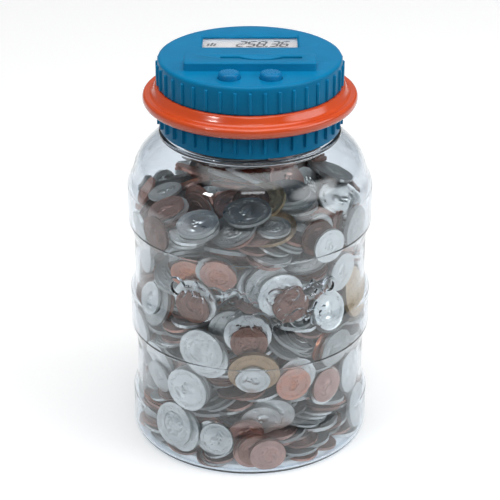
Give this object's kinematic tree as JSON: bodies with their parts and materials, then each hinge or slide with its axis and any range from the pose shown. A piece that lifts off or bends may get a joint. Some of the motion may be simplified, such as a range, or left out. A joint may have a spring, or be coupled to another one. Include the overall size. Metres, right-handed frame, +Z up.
{
  "type": "digital coin counting jar",
  "caption": "Clear banded coin jar with a screw-on counting lid: coin slot, number display, two buttons, coin lever and battery bay.",
  "frame": {"origin": "centre of the jar's standing ring, on the surface it stands on", "axes": "+Z up along the jar's axis, -Y towards the front of the lid where the two buttons are, +X to the right seen from the front"},
  "size_m": [0.128, 0.128, 0.215],
  "materials": {
    "jar_plastic": "gloss",
    "coins": "satin",
    "lid_blue": "satin",
    "trim_orange": "gloss",
    "window_plastic": "gloss",
    "display": "satin",
    "inner_white": "satin",
    "inner_black": "satin",
    "keypad_rubber": "matte",
    "gasket_foam": "matte",
    "circuit_board": "satin",
    "steel": "satin",
    "spring_bronze": "polished",
    "cell_jacket": "gloss",
    "wire_red": "satin",
    "wire_black": "satin"
  },
  "bodies": {
    "jar": {"jar_body": "jar_plastic", "coin_fill": "coins"},
    "trim": {"trim_ring": "trim_orange"},
    "lid": {"screw_cap": "lid_blue", "rim_gasket": "gasket_foam", "head_cover": "lid_blue", "lcd_window": "window_plastic", "lcd_panel": "display", "lcd_holder": "inner_white", "lcd_connector": "keypad_rubber", "main_board": "circuit_board", "controller_chip": "inner_black", "board_screw_1": "steel", "board_screw_2": "steel", "board_screw_3": "steel", "board_screw_4": "steel", "head_screw_1": "steel", "head_screw_2": "steel", "head_screw_3": "steel", "head_screw_4": "steel", "keypad_dome_add": "keypad_rubber", "keypad_dome_subtract": "keypad_rubber", "coin_guide_rear": "inner_white", "coin_guide_front": "inner_white", "guide_screw_1": "steel", "guide_screw_2": "steel", "lever_spring": "steel", "sensor_board": "circuit_board", "battery_box": "inner_black", "battery_1": "cell_jacket", "battery_2": "cell_jacket", "battery_contact_bridge": "steel", "battery_contact_positive": "steel", "battery_contact_negative": "steel", "battery_spring_1": "steel", "battery_spring_2": "steel", "battery_wire_red": "wire_red", "battery_wire_black": "wire_black", "door_hinge_pin": "steel"},
    "add_button": {"button_add": "lid_blue"},
    "subtract_button": {"button_subtract": "lid_blue"},
    "lever": {"coin_lever": "inner_white", "lever_pin": "steel", "lever_wiper": "spring_bronze"},
    "door": {"battery_door": "inner_black", "door_screw": "steel"}
  },
  "joints": [
    {"name": "lid_lift", "type": "slide", "parent": "jar", "child": "trim", "axis": [0, 0, 1], "range_m": [0, 0.01501]},
    {"name": "lid_turn", "type": "hinge", "parent": "trim", "child": "lid", "pos_m": [0, 0, 0.19], "axis": [0, 0, 1], "range_deg": [0, 1080]},
    {"name": "add_button_press", "type": "slide", "parent": "lid", "child": "add_button", "axis": [0, 0, -1], "range_m": [0, 0.0012], "stiffness_N_per_m": 800, "springref_m": -0.0005, "deforming": ["keypad_dome_add"]},
    {"name": "subtract_button_press", "type": "slide", "parent": "lid", "child": "subtract_button", "axis": [0, 0, -1], "range_m": [0, 0.0012], "stiffness_N_per_m": 800, "springref_m": -0.0005, "deforming": ["keypad_dome_subtract"]},
    {"name": "coin_lever_swing", "type": "hinge", "parent": "lid", "child": "lever", "pos_m": [0.029, -0.0154, 0.201], "axis": [0, -1, 0], "range_deg": [0, 40], "stiffness_Nm_per_rad": 0.002, "springref_deg": -11.46},
    {"name": "battery_door_swing", "type": "hinge", "parent": "lid", "child": "door", "pos_m": [0, 0.0288, 0.1846], "axis": [1, 0, 0], "range_deg": [0, 90]}
  ],
  "couplings": [
    {"joint": "lid_lift", "follows": "lid_turn", "m_per_rad": 0.00079577}
  ]
}
